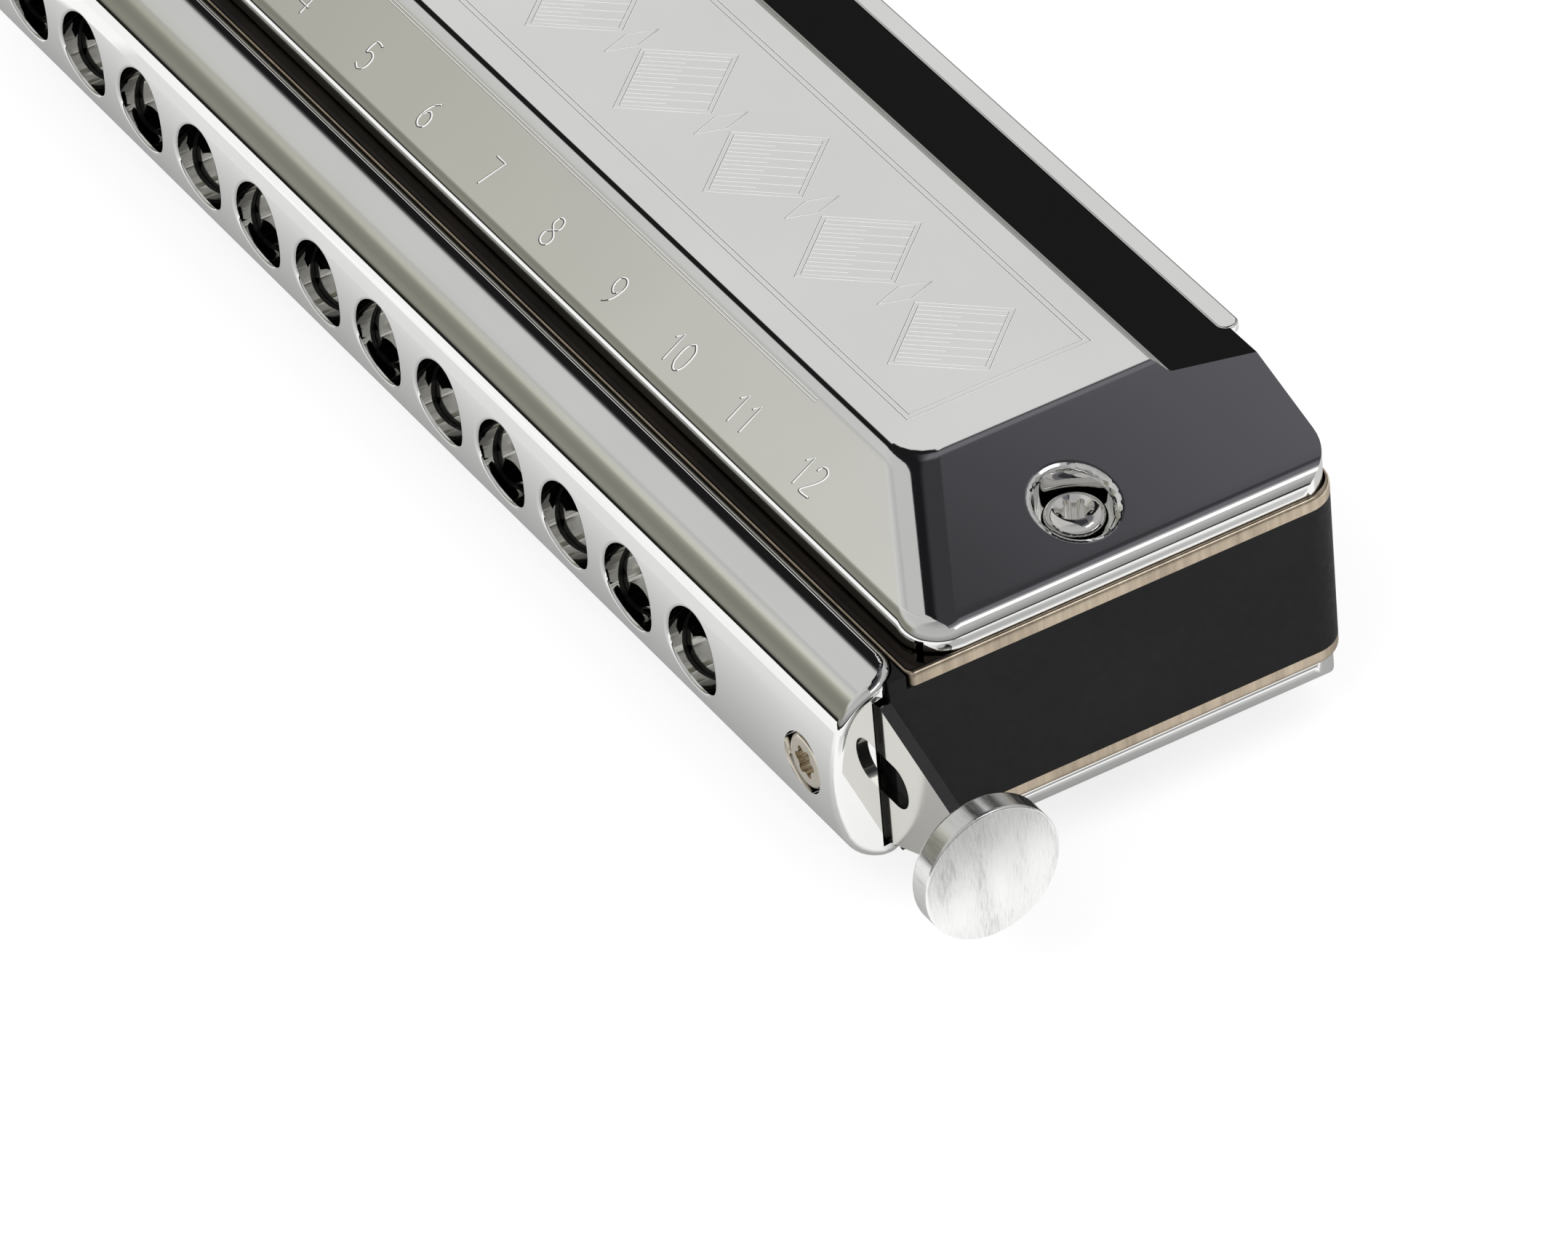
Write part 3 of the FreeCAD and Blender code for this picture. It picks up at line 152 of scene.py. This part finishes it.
def plate_metal(name):
    """Reed plate: flat and front faces painted near black (painted reflection and shade), a polished bead,
    and drawn matte edges.
    """
    net = Net(name)
    net.set("Metallic", 1.0)
    split = net.tree.nodes.new("ShaderNodeSeparateXYZ")
    net.link(net.coord.outputs["Normal"], split.inputs["Vector"])
    level = net.math("ABSOLUTE", split.outputs["Z"], 0.0)
    soft = net.noise(net.place(), 160, 5)
    drawn = net.noise(net.place((1, 1, 0.06)), 1400, 5, 0.6)
    side = net.ramp(net.math("ADD", net.math("MULTIPLY", soft, 0.4), net.math("MULTIPLY", drawn, 0.6)),
                    [(0.35, (0.40, 0.33, 0.25)), (0.65, (0.66, 0.56, 0.43))])
    # painted reflection and shade: a near-black colour for the flat faces, standing for the dark surroundings
    # they mirror and the shade in the gap
    dark = net.ramp(soft, [(0.3, (0.010, 0.008, 0.007)), (0.7, (0.020, 0.016, 0.012))])
    mix = net.tree.nodes.new("ShaderNodeMix")
    mix.data_type = "RGBA"
    # faces turned to the front get the same painted shade
    front = net.span(split.outputs["Y"], -0.6, -0.3, 1, 0)
    net.link(net.math("MAXIMUM", net.span(level, 0.93, 0.985, 0, 1), front), mix.inputs["Factor"])
    net.link(side, mix.inputs["A"])
    net.link(dark, mix.inputs["B"])
    net.link(mix.outputs["Result"], net.shader.inputs["Base Color"])
    net.link(net.span(level, 0.05, 0.45, 0.46, 0.12), net.shader.inputs["Roughness"])
    net.bump(drawn, 3e-6)
    return net.mat


def brushed_metal(name):
    """Button: bright metal with arcs of fine turning marks and soft darker sweeps."""
    net = Net(name)
    net.set("Metallic", 1.0)
    marks = net.noise(net.place((1, 14, 2), (0.7, 0, 0)), 420, 7, 0.7)
    sweep = net.noise(net.place((1, 2.2, 0.8), (0.7, 0, 0)), 190, 2, 0.4)
    both = net.math("ADD", net.math("MULTIPLY", marks, 0.55), net.math("MULTIPLY", sweep, 0.45))
    shades = [(0.33, (0.55, 0.55, 0.54)), (0.48, (0.80, 0.80, 0.79)), (0.62, (0.88, 0.88, 0.87))]
    net.link(net.ramp(both, shades), net.shader.inputs["Base Color"])
    net.link(net.span(marks, 0.3, 0.7, 0.14, 0.30), net.shader.inputs["Roughness"])
    net.bump(marks, 2e-6)
    return net.mat


CHROME_TINTS = ((0.80, 0.80, 0.79), (0.84, 0.84, 0.83))
STEEL_TINTS = ((0.60, 0.54, 0.45), (0.74, 0.69, 0.60))
BOLT_TINTS = ((0.76, 0.75, 0.73), (0.84, 0.83, 0.81))
SLIDE_TINTS = ((0.62, 0.61, 0.57), (0.70, 0.69, 0.65))
BRASS_TINTS = ((0.62, 0.46, 0.22), (0.74, 0.57, 0.30))
COMB_TINTS = ((0.0085, 0.0085, 0.009), (0.012, 0.012, 0.0125))

CHROME = metal("chrome", CHROME_TINTS, (0.015, 0.04), grain_scale=2500, depth=0)
CHROME_COVER = metal("chrome_cover_look", CHROME_TINTS, (0.02, 0.06), grain_scale=2500, depth=0)
STEEL = metal("screw_look", STEEL_TINTS, (0.06, 0.14), grain_scale=3000, depth=4e-7)
BOLT = metal("bolt_look", BOLT_TINTS, (0.03, 0.08), grain_scale=2500, depth=0)
SLIDE = metal("slide_look", SLIDE_TINTS, (0.06, 0.16), (1, 1, 40), 700, 6e-7)
BUTTON = brushed_metal("button_look")
BRONZE = plate_metal("bronze_look")
BRASS = metal("brass_look", BRASS_TINTS, (0.16, 0.34), (60, 1, 1), 300, 3e-6)
BLACK = plastic("comb_look", COMB_TINTS, (0.40, 0.52), shine=0.10)
SHEET = plastic("guide_look", ((0.008, 0.008, 0.008), (0.014, 0.014, 0.014)), (0.35, 0.5))
RUBBER = plastic("rubber_look", ((0.012, 0.012, 0.012), (0.02, 0.02, 0.02)), (0.6, 0.75))
FILM = plastic("valve_look", ((0.80, 0.77, 0.68), (0.88, 0.86, 0.80)), (0.35, 0.5))

LOOKS = {
    "mouthpiece": CHROME,
    "mouthpiece_screws": STEEL,
    "slide_guide_plate": SHEET,
    "slide": SLIDE,
    "slide_button": BUTTON,
    "slide_channel_plate": SLIDE,
    "comb_gasket": RUBBER,
    "slide_bumpers": RUBBER,
    "slide_return_springs": STEEL,
    "comb": BLACK,
    "comb_threaded_inserts": BRASS,
    "reed_plate": BRONZE,
    "reeds": BRASS,
    "rivets": BRASS,
    "valves": FILM,
    "plate_screws": STEEL,
    "top_cover": CHROME_COVER,
    "bottom_cover": CHROME_COVER,
    "cover_bolts": BOLT,
    "cover_nuts": STEEL,
}


def look_for(name):
    """The look of a node: its own name's, or that of what it ends in."""
    if name in LOOKS:
        return LOOKS[name]
    for word, look in LOOKS.items():
        if name.endswith(word):
            return look
    raise KeyError(name)


for name, thing in nodes.items():
    for slot in thing.material_slots:
        slot.material = look_for(name)

# ---------------------------------------------------------------- smooth pressed sheet

# Each flat of a cover becomes one face, sharp edges stay sharp, and the narrow
# flats of the rounded edges shade as one curve.
for name in ("top_cover", "bottom_cover"):
    sheet = nodes[name]
    weld = sheet.modifiers.new("weld", "WELD")
    weld.merge_threshold = 2e-6
    flats = sheet.modifiers.new("flats", "DECIMATE")
    flats.decimate_type = "DISSOLVE"
    flats.angle_limit = math.radians(0.4)
    split = sheet.modifiers.new("split", "EDGE_SPLIT")
    split.split_angle = math.radians(16)
    soft = sheet.modifiers.new("soft", "WEIGHTED_NORMAL")
    soft.mode = "FACE_AREA"
    soft.weight = 90

# ---------------------------------------------------------------- return springs, as a copy with a mesh of its own

springs = nodes["slide_return_springs"]
coils = bpy.data.objects.new("springs_that_close", springs.data.copy())
scene.collection.objects.link(coils)
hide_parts("slide_return_springs")
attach(coils, "instrument")
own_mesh(coils)

# ---------------------------------------------------------------- engraving

# strokes of each digit: points on a grid 1 wide and 2 tall
DIGITS = {
    "0": [[(0.5, 2), (0.95, 1.55), (0.95, 0.45), (0.5, 0), (0.05, 0.45), (0.05, 1.55), (0.5, 2)]],
    "1": [[(0.15, 1.55), (0.6, 2), (0.6, 0)]],
    "2": [[(0.05, 1.55), (0.2, 1.9), (0.55, 2), (0.9, 1.8), (0.92, 1.35), (0.6, 0.8), (0.02, 0), (1.0, 0)]],
    "3": [[(0.08, 1.75), (0.45, 2), (0.85, 1.8), (0.85, 1.3), (0.42, 1.08)],
          [(0.42, 1.08), (0.92, 0.85), (0.95, 0.3), (0.5, 0), (0.05, 0.25)]],
    "4": [[(0.75, 0), (0.75, 2), (0.0, 0.6), (1.0, 0.6)]],
    "5": [[(0.9, 2), (0.2, 2), (0.1, 1.15), (0.5, 1.3), (0.92, 1.05), (0.95, 0.4), (0.5, 0), (0.05, 0.2)]],
    "6": [[(0.8, 1.95), (0.3, 1.5), (0.05, 0.8), (0.1, 0.25), (0.5, 0), (0.92, 0.25), (0.92, 0.85),
           (0.5, 1.15), (0.08, 0.75)]],
    "7": [[(0.02, 2), (0.98, 2), (0.35, 0)]],
    "8": [[(0.5, 1.08), (0.12, 1.4), (0.2, 1.85), (0.5, 2), (0.8, 1.85), (0.88, 1.4), (0.5, 1.08),
           (0.05, 0.7), (0.1, 0.2), (0.5, 0), (0.9, 0.2), (0.95, 0.7), (0.5, 1.08)]],
    "9": [[(0.92, 1.25), (0.5, 0.85), (0.08, 1.15), (0.08, 1.75), (0.5, 2), (0.9, 1.75), (0.95, 1.2),
           (0.7, 0.5), (0.2, 0.05)]],
}
ROUND = "0235689"    # digits drawn with soft curves


def smooth_line(points, steps=5):
    """Points along a soft curve (Catmull-Rom) through the given ones."""
    result = []
    last = len(points) - 1
    for i in range(last):
        a = Vector(points[max(i - 1, 0)])
        b, c = Vector(points[i]), Vector(points[i + 1])
        d = Vector(points[min(i + 2, last)])
        for k in range(steps):
            t = k / steps
            result.append(0.5 * (2 * b + (c - a) * t + (2 * a - 5 * b + 4 * c - d) * t * t
                                 + (3 * b - a - 3 * c + d) * t ** 3))
    result.append(Vector(points[last]))
    return result


class Engraver:
    """Collects strokes in one curve, each a fine wire half sunk in the sheet."""

    def __init__(self, name, radius):
        self.data = bpy.data.curves.new(name, "CURVE")
        self.data.dimensions = "3D"
        self.data.bevel_depth = radius * MM
        self.data.bevel_resolution = 2
        self.name = name

    def stroke(self, points):
        line = self.data.splines.new("POLY")
        line.points.add(len(points) - 1)
        for point, place in zip(line.points, points):
            point.co = (*(Vector(place) * MM), 1)

    def finish(self, look):
        curve = bpy.data.objects.new(self.name + "_curve", self.data)
        scene.collection.objects.link(curve)
        bpy.context.view_layer.update()
        mesh = bpy.data.meshes.new_from_object(curve)
        bpy.data.objects.remove(curve)
        piece = bpy.data.objects.new(self.name, mesh)
        scene.collection.objects.link(piece)
        for face in mesh.polygons:
            face.use_smooth = True
        mesh.materials.clear()
        mesh.materials.append(look)
        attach(piece, "instrument")


# the cover's front slope and the panel on its roof, in millimetres
SLOPE = math.atan2(4.6, 7.33)
SLOPE_Y, SLOPE_Z = -18.0, 23.8
PANEL_Z = 28.4

# hole numbers, in millimetres
DIGIT_WIDE, DIGIT_TALL, DIGIT_GAP = 1.25, 2.5, 0.45
NUMBERS_UP = 2.05        # up the slope to the numbers' foot
NUMBER_STROKE = 0.062

# roof engraving, in millimetres
LINE_STROKE = 0.028
SLOPE_LINES, SLOPE_LINE_ENDS = (7.55, 7.8), (-55.5, 46.5)
BORDER_HALF, BORDER_FRONT, BORDER_REAR, BORDER_GAP = 53.0, -7.6, 8.4, 0.45
LOZENGES, LOZENGE_HALF, LOZENGE_HIGH, LOZENGE_INNER = 8, 5.2, 5.6, 0.9
HATCHES = 13
JOINT_HALF, JOINT_HIGH = 0.9, 2.4


def on_slope(x, up):
    """Point on the front slope, a distance up it from its lower corner."""
    return (x, SLOPE_Y + up * math.cos(SLOPE), SLOPE_Z + up * math.sin(SLOPE))


def engrave_numbers(name, shift, look):
    """Hole numbers. Each stroke is a dark wire of painted shade with a near-white wire of painted highlight
    beside it.
    """
    pen = Engraver(name, NUMBER_STROKE)
    for hole in range(HOLES):
        text = str(hole + 1)
        wide = len(text) * DIGIT_WIDE + (len(text) - 1) * DIGIT_GAP
        start = PITCH * (hole - (HOLES - 1) / 2) - wide / 2
        for place, digit in enumerate(text):
            left = start + place * (DIGIT_WIDE + DIGIT_GAP)
            for points in DIGITS[digit]:
                line = smooth_line(points) if digit in ROUND else [Vector(p) for p in points]
                pen.stroke([on_slope(left + p.x * DIGIT_WIDE + shift,
                                     NUMBERS_UP + p.y * DIGIT_TALL / 2 + shift) for p in line])
    pen.finish(look)


def lozenge(x, y, half, high):
    """Closed outline of a lozenge on the roof, from its left corner."""
    z = PANEL_Z
    return [(x - half, y, z), (x, y + high, z), (x + half, y, z), (x, y - high, z), (x - half, y, z)]


def engrave_lines(name, shift, look):
    """Plain border lines and a row of hatched lozenges on the roof."""
    pen = Engraver(name, LINE_STROKE)
    for up in SLOPE_LINES:
        pen.stroke([on_slope(x + shift, up + shift) for x in SLOPE_LINE_ENDS])
    z = PANEL_Z
    left, right = -BORDER_HALF + shift, BORDER_HALF + shift
    front, rear = BORDER_FRONT + shift, BORDER_REAR + shift
    for gap in (0, BORDER_GAP):
        pen.stroke([(left + gap, front + gap, z), (right - gap, front + gap, z), (right - gap, rear - gap, z),
                    (left + gap, rear - gap, z), (left + gap, front + gap, z)])
    middle = (front + rear) / 2
    for i in range(LOZENGES):
        x = left + (right - left) * (i + 0.5) / LOZENGES
        a, b = LOZENGE_HALF * LOZENGE_INNER, LOZENGE_HIGH * LOZENGE_INNER
        pen.stroke(lozenge(x, middle, LOZENGE_HALF, LOZENGE_HIGH))
        pen.stroke(lozenge(x, middle, a, b))
        for k in range(1, HATCHES):
            t = k / HATCHES
            reach = 1 if k % 2 else 0.5     # every other hatch stops half way across
            foot = (x - a + a * t, middle - b * t, z)
            pen.stroke([foot, (foot[0] + a * reach, foot[1] + b * reach, z)])
        if i:
            joint = left + (right - left) * i / LOZENGES
            pen.stroke([(joint, middle - JOINT_HIGH, z), (joint + JOINT_HALF, middle, z),
                        (joint, middle + JOINT_HIGH, z), (joint - JOINT_HALF, middle, z),
                        (joint, middle - JOINT_HIGH, z)])
    pen.finish(look)


# painted shade and painted highlight: each engraved stroke is a dark wire standing for the groove's shade,
# with a near-white wire beside it standing for its lit edge
PAINTED_SHADE_CUT = plastic("engraving_painted_shade", ((0.06, 0.06, 0.055), (0.10, 0.10, 0.095)), (0.4, 0.5))
PAINTED_HIGHLIGHT_CUT = plastic("engraving_painted_highlight", ((0.90, 0.90, 0.89), (0.95, 0.95, 0.94)), (0.4, 0.5))
NUMBER_EDGE, LINE_EDGE = 0.085, 0.034     # from a dark cut to the bright one beside it, in millimetres
engrave_numbers("hole_numbers_painted_shade", 0.0, PAINTED_SHADE_CUT)
engrave_numbers("hole_numbers_painted_highlight", NUMBER_EDGE, PAINTED_HIGHLIGHT_CUT)
engrave_lines("roof_engraving_painted_shade", 0.0, PAINTED_SHADE_CUT)
engrave_lines("roof_engraving_painted_highlight", LINE_EDGE, PAINTED_HIGHLIGHT_CUT)

# ---------------------------------------------------------------- camera

camera_data = bpy.data.cameras.new("camera")
camera_data.lens = 303.58        # millimetres
camera_data.sensor_width = 36.0
camera_data.sensor_fit = "HORIZONTAL"
camera_data.clip_start = 0.05
camera_data.clip_end = 20.0
camera = bpy.data.objects.new("camera", camera_data)
scene.collection.objects.link(camera)
camera.location = (0.72724, -0.37945, 0.61876)
camera.rotation_euler = [math.radians(turn) for turn in (51.5577, 4.0448, 58.6883)]
scene.camera = camera

# ---------------------------------------------------------------- floor and light

CENTRE = Vector((0.03, 0.0, 0.015))      # of the dome, in metres, and what the lamp points at
FLOOR_HALF = 1.6
FLOOR_LOW = -0.0001                      # just clear of the bottom cover
FLOOR_GLOW = 0.76                        # as the camera sees it
DOME_RADIUS, DOME_AROUND, DOME_UP = 3.0, 360, 96
DOME_LOW, DOME_TALL = -6, 96             # degrees: where the dome starts, and how far up it goes


def make_floor():
    """White table, bright enough that the shadow on it stays faint, and clear from below."""
    mesh = bpy.data.meshes.new("floor")
    half, low = FLOOR_HALF, FLOOR_LOW
    mesh.from_pydata([(-half, -half, low), (half, -half, low), (half, half, low), (-half, half, low)], [],
                     [(0, 1, 2, 3)])
    floor = bpy.data.objects.new("floor", mesh)
    scene.collection.objects.link(floor)
    net = Net("floor_look")
    net.set("Base Color", (0.30, 0.30, 0.30, 1))
    net.set("Roughness", 0.9)
    net.set("Specular IOR Level", 0.0)
    net.set("Emission Color", (1, 1, 1, 1))
    # what mirrors see: painted shade close to the instrument in front and behind, white further off, and a
    # painted bright band just past each end
    split = net.tree.nodes.new("ShaderNodeSeparateXYZ")
    net.link(net.coord.outputs["Object"], split.inputs["Vector"])
    across = net.math("ABSOLUTE", split.outputs["Y"], 0.0)
    along = net.math("ABSOLUTE", split.outputs["X"], 0.0)
    ahead = net.span(across, 0.024, 0.085, 0.30, 0.86)
    beside = net.math("MULTIPLY", net.span(along, 0.099, 0.117, 0.92, 0.26),
                      net.span(along, 0.071, 0.080, 0, 1))
    table = net.math("SUBTRACT", net.math("MAXIMUM", ahead, beside), 0.12)
    path = net.tree.nodes.new("ShaderNodeLightPath")
    seen = path.outputs["Is Camera Ray"]
    level = net.math("ADD", net.math("MULTIPLY", seen, FLOOR_GLOW),
                     net.math("MULTIPLY", net.math("SUBTRACT", 1.0, seen), table))
    net.link(level, net.shader.inputs["Emission Strength"])
    clear = net.tree.nodes.new("ShaderNodeBsdfTransparent")
    side = net.tree.nodes.new("ShaderNodeNewGeometry")
    one_way = net.tree.nodes.new("ShaderNodeMixShader")
    net.link(side.outputs["Backfacing"], one_way.inputs["Fac"])
    net.link(net.shader.outputs["BSDF"], one_way.inputs[1])
    net.link(clear.outputs["BSDF"], one_way.inputs[2])
    net.link(one_way.outputs["Shader"], net.out.inputs["Surface"])
    floor.data.materials.append(net.mat)


make_floor()


def blend_in(value, low, high):
    """0 below low, 1 above high, smooth between."""
    t = min(max((value - low) / (high - low), 0.0), 1.0)
    return t * t * (3 - 2 * t)


def between(value, stops):
    """Straight lines between (place, level) pairs."""
    if value <= stops[0][0]:
        return stops[0][1]
    for (a, x), (b, y) in zip(stops, stops[1:]):
        if value <= b:
            return x + (y - x) * (value - a) / (b - a)
    return stops[-1][1]


def studio(bearing, height):
    """Brightness and warmth of the studio in a direction: degrees round from the
    left (towards the rear is positive), and degrees above the table."""
    # far side, to the left front: black skirting, then an olive wall that gets light
    wall = between(height, [(3.5, 0.012), (5.5, 0.22), (9, 0.29), (14, 0.27), (20, 0.24), (26, 0.26),
                            (30, 0.34), (34, 0.50), (38, 0.62), (44, 0.66), (60, 0.60)])
    wall += (-27 - bearing) * 0.022 * blend_in(height, 28, 34) * (1 - blend_in(abs(bearing + 28), 4, 9))
    rest = between(height, [(3.5, 0.03), (6, 0.30), (30, 0.55), (60, 0.50), (90, 0.30)])
    front = 1 - blend_in(abs(bearing + 25), 55, 75)
    value = rest + (wall - rest) * front
    warm = front * (1 - blend_in(height, 30, 44))
    # black board beside it
    board_end = 20 + (height - 34) * 0.9
    board = blend_in(bearing, 6.5, 8.5) * blend_in(height, 20, 26)
    value += (0.012 - value) * board * (1 - blend_in(bearing, 60, 64))
    warm *= 1 - board
    # white board over the roof
    edge = 28 + (height - 31.5)
    white = blend_in(bearing, board_end, board_end + 1.5) * (1 - blend_in(bearing, edge, edge + 1.6))
    white *= blend_in(height, 27, 29) * (1 - blend_in(height, 46, 52))
    value += (0.76 - value) * white
    # dark ceiling to the rear right, with a soft sheen
    ceiling = blend_in(height, 50, 56) * blend_in(bearing, 24, 36)
    sheen = 0.045 + 0.03 * min(max(66 - height, 0), 4)
    value += (sheen - value) * ceiling
    # lamp behind the camera, seen in the covers' end beads
    lamp = 1 - blend_in(abs(bearing - 148), 14, 22)
    lamp *= 1 - blend_in(abs(height - 43), 3.5, 5.5)
    value += (2.4 - value) * lamp
    return max(value, 0.0), warm


def make_dome():
    """Glowing dome that only mirrors see."""
    around, up = DOME_AROUND, DOME_UP
    points, faces, colours = [], [], []
    for j in range(up + 1):
        height = DOME_LOW + DOME_TALL * j / up
        for i in range(around):
            bearing = -180 + 360 * i / around
            h, c = math.radians(height), math.radians(bearing)
            away = Vector((-math.cos(c) * math.cos(h), math.sin(c) * math.cos(h), math.sin(h)))
            points.append(CENTRE + away * DOME_RADIUS)
            value, warm = studio(bearing, height)
            cool = 1.12 if value < 0.2 and height > 50 else 1.0
            colours.append((value, value * (1 - 0.015 * warm), value * (cool - 0.16 * warm), 1.0))
    for j in range(up):
        for i in range(around):
            k = (i + 1) % around
            faces.append((j * around + i, j * around + k, (j + 1) * around + k, (j + 1) * around + i))
    mesh = bpy.data.meshes.new("studio_dome")
    mesh.from_pydata(points, [], faces)
    layer = mesh.color_attributes.new("glow", "FLOAT_COLOR", "POINT")
    layer.data.foreach_set("color", [v for colour in colours for v in colour])
    dome = bpy.data.objects.new("studio_dome", mesh)
    scene.collection.objects.link(dome)
    net = Net("studio_look")
    net.tree.nodes.remove(net.shader)
    glow = net.tree.nodes.new("ShaderNodeEmission")
    read = net.tree.nodes.new("ShaderNodeVertexColor")
    read.layer_name = "glow"
    net.link(read.outputs["Color"], glow.inputs["Color"])
    net.link(glow.outputs["Emission"], net.out.inputs["Surface"])
    mesh.materials.append(net.mat)
    net.mat.cycles.emission_sampling = "NONE"
    dome.visible_camera = False
    dome.visible_diffuse = False
    dome.visible_shadow = False
    dome.visible_transmission = False


make_dome()


def sky():
    """White surroundings, for the camera and for dull surfaces."""
    world = bpy.data.worlds.new("studio")
    world.use_nodes = True
    tree = world.node_tree
    tree.nodes.clear()
    out = tree.nodes.new("ShaderNodeOutputWorld")
    back = tree.nodes.new("ShaderNodeBackground")
    back.inputs["Color"].default_value = (1, 1, 1, 1)
    back.inputs["Strength"].default_value = 1.0
    tree.links.new(back.outputs["Background"], out.inputs["Surface"])
    scene.world = world


sky()


def area(name, spot, size, power):
    """Square lamp aimed at the instrument, which gives no glint."""
    data = bpy.data.lights.new(name, "AREA")
    data.shape = "SQUARE"
    data.size = size
    data.energy = power
    lamp = bpy.data.objects.new(name, data)
    scene.collection.objects.link(lamp)
    lamp.location = spot
    lamp.rotation_euler = (CENTRE - Vector(spot)).to_track_quat("-Z", "Y").to_euler()
    lamp.visible_glossy = False


area("key", (0.5, -0.9, 1.3), 0.7, 6)

scene.view_settings.view_transform = "Standard"
